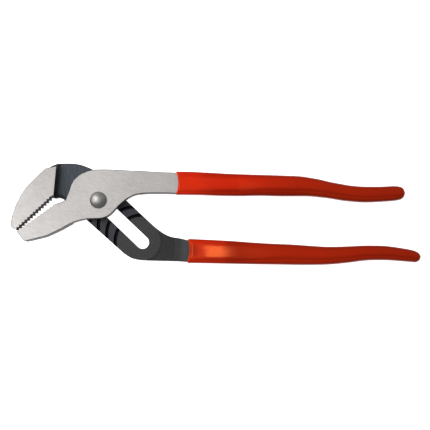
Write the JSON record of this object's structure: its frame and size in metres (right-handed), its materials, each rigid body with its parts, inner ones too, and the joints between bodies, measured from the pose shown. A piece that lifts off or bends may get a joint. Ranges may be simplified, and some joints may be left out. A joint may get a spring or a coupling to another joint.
{
  "type": "tongue and groove pliers",
  "caption": "Slip-joint gripping pliers with offset serrated jaws, a grooved slot for the pivot and long dipped handles.",
  "frame": {"origin": "on the pivot axis, at the back face of the pivot nut", "axes": "+X from the pivot towards the handle ends, along the tool; +Z along the pivot axis, towards the front face with the bolt's dome"},
  "size_m": [0.3078, 0.0773, 0.022],
  "materials": {
    "ground_steel": "fine ground faces, black oxide on the forged sides",
    "black_oxide_steel": "black oxide, with the jaw's outer face ground bright",
    "pivot_steel": "satin",
    "dipped_grip": "glossy dipped vinyl"
  },
  "bodies": {
    "rear": {"rear_half": "black_oxide_steel", "lower_grip": "dipped_grip"},
    "pivot": {"pivot_bolt": "pivot_steel", "pivot_washer": "pivot_steel", "pivot_nut": "pivot_steel"},
    "front": {"front_half": "ground_steel", "upper_grip": "dipped_grip"}
  },
  "joints": [
    {"name": "slot_slide", "type": "slide", "parent": "rear", "child": "pivot", "axis": [0.7242, -0.6896, 0], "range_m": [0, 0.04425]},
    {"name": "handle_hinge", "type": "hinge", "parent": "pivot", "child": "front", "pos_m": [0, 0, 0], "axis": [0, 0, 1], "range_deg": [0, 50]}
  ]
}
